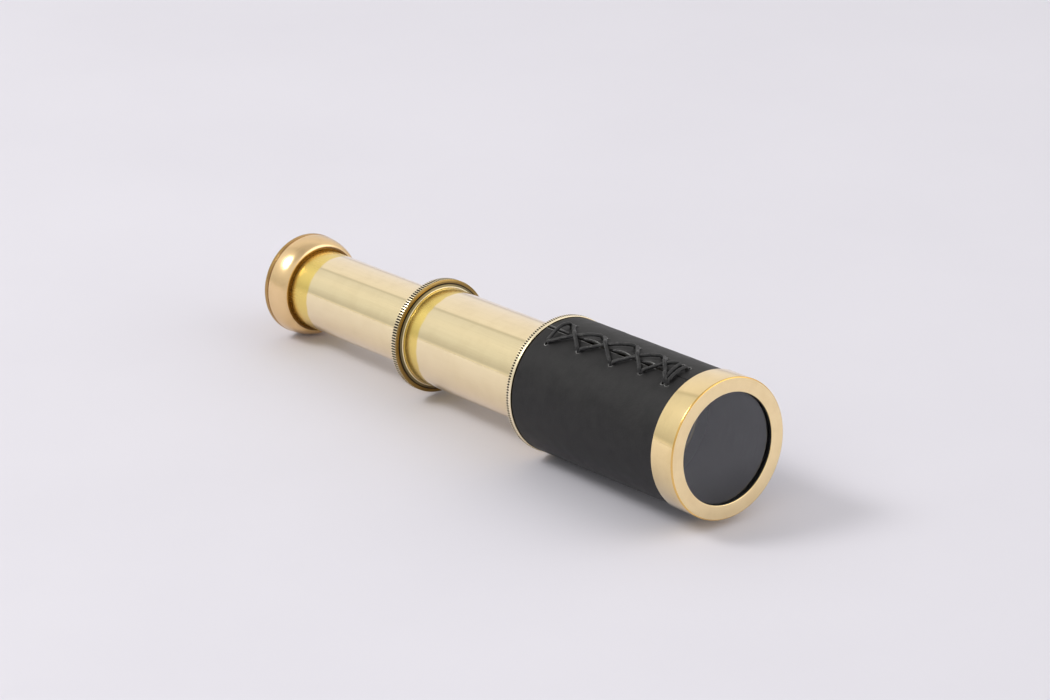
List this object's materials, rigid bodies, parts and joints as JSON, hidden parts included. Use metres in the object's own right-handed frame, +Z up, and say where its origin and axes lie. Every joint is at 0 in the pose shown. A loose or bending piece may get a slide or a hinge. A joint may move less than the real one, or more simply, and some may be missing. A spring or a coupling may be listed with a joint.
{
  "type": "pocket telescope",
  "caption": "Pull-out brass spyglass lying on its side: leather-sleeved barrel, sliding draw tubes with knurled collars, lenses inside and a bell-shaped eyepiece.",
  "frame": {"origin": "on the surface the telescope lies on, under the middle of its bounding box when fully pulled out", "axes": "+X along the tubes towards the objective (the optical axis climbs 2.25 degrees towards it, because the barrel is thicker than the eyepiece), +Z up, -Y is the side the lacing faces"},
  "size_m": [0.152, 0.0316, 0.0337],
  "materials": {
    "polished_brass": "mirror-polished and lacquered, faint lengthwise draw marks",
    "satin_brass": "lathe-turned satin, polished edges",
    "blackened_brass": "matt black optical paint",
    "leather": "smooth black leather with fine grain, soft sheen",
    "lace_cord": "thin twisted black cord",
    "felt": "dense felt",
    "glass": "polished uncoated glass"
  },
  "bodies": {
    "barrel": {"objective_bezel": "satin_brass", "objective_lens": "glass", "objective_retaining_ring": "blackened_brass", "barrel_tube": "polished_brass", "leather_sleeve": "leather", "leather_lace": "lace_cord", "barrel_collar": "satin_brass", "barrel_draw_liner": "felt"},
    "large_draw": {"large_draw_tube": "polished_brass", "large_draw_stop_ring": "blackened_brass", "large_draw_collar": "satin_brass", "large_draw_liner": "felt"},
    "small_draw": {"small_draw_tube": "polished_brass", "small_draw_stop_ring": "blackened_brass", "erector_cell": "blackened_brass", "erector_front_retainer": "blackened_brass", "erector_front_lens": "glass", "aperture_stop": "blackened_brass", "erector_rear_lens": "glass", "erector_rear_retainer": "blackened_brass", "eyepiece_cell": "blackened_brass", "field_lens_retainer": "blackened_brass", "field_lens": "glass", "field_stop": "blackened_brass", "eye_lens": "glass", "eye_lens_retainer": "blackened_brass", "eyepiece_cap": "satin_brass"}
  },
  "joints": [
    {"name": "large_draw_slide", "type": "slide", "parent": "barrel", "child": "large_draw", "axis": [0.9992, 0, 0.0392], "range_m": [0, 0.0416]},
    {"name": "small_draw_slide", "type": "slide", "parent": "large_draw", "child": "small_draw", "axis": [0.9992, 0, 0.0392], "range_m": [0, 0.0433]}
  ]
}
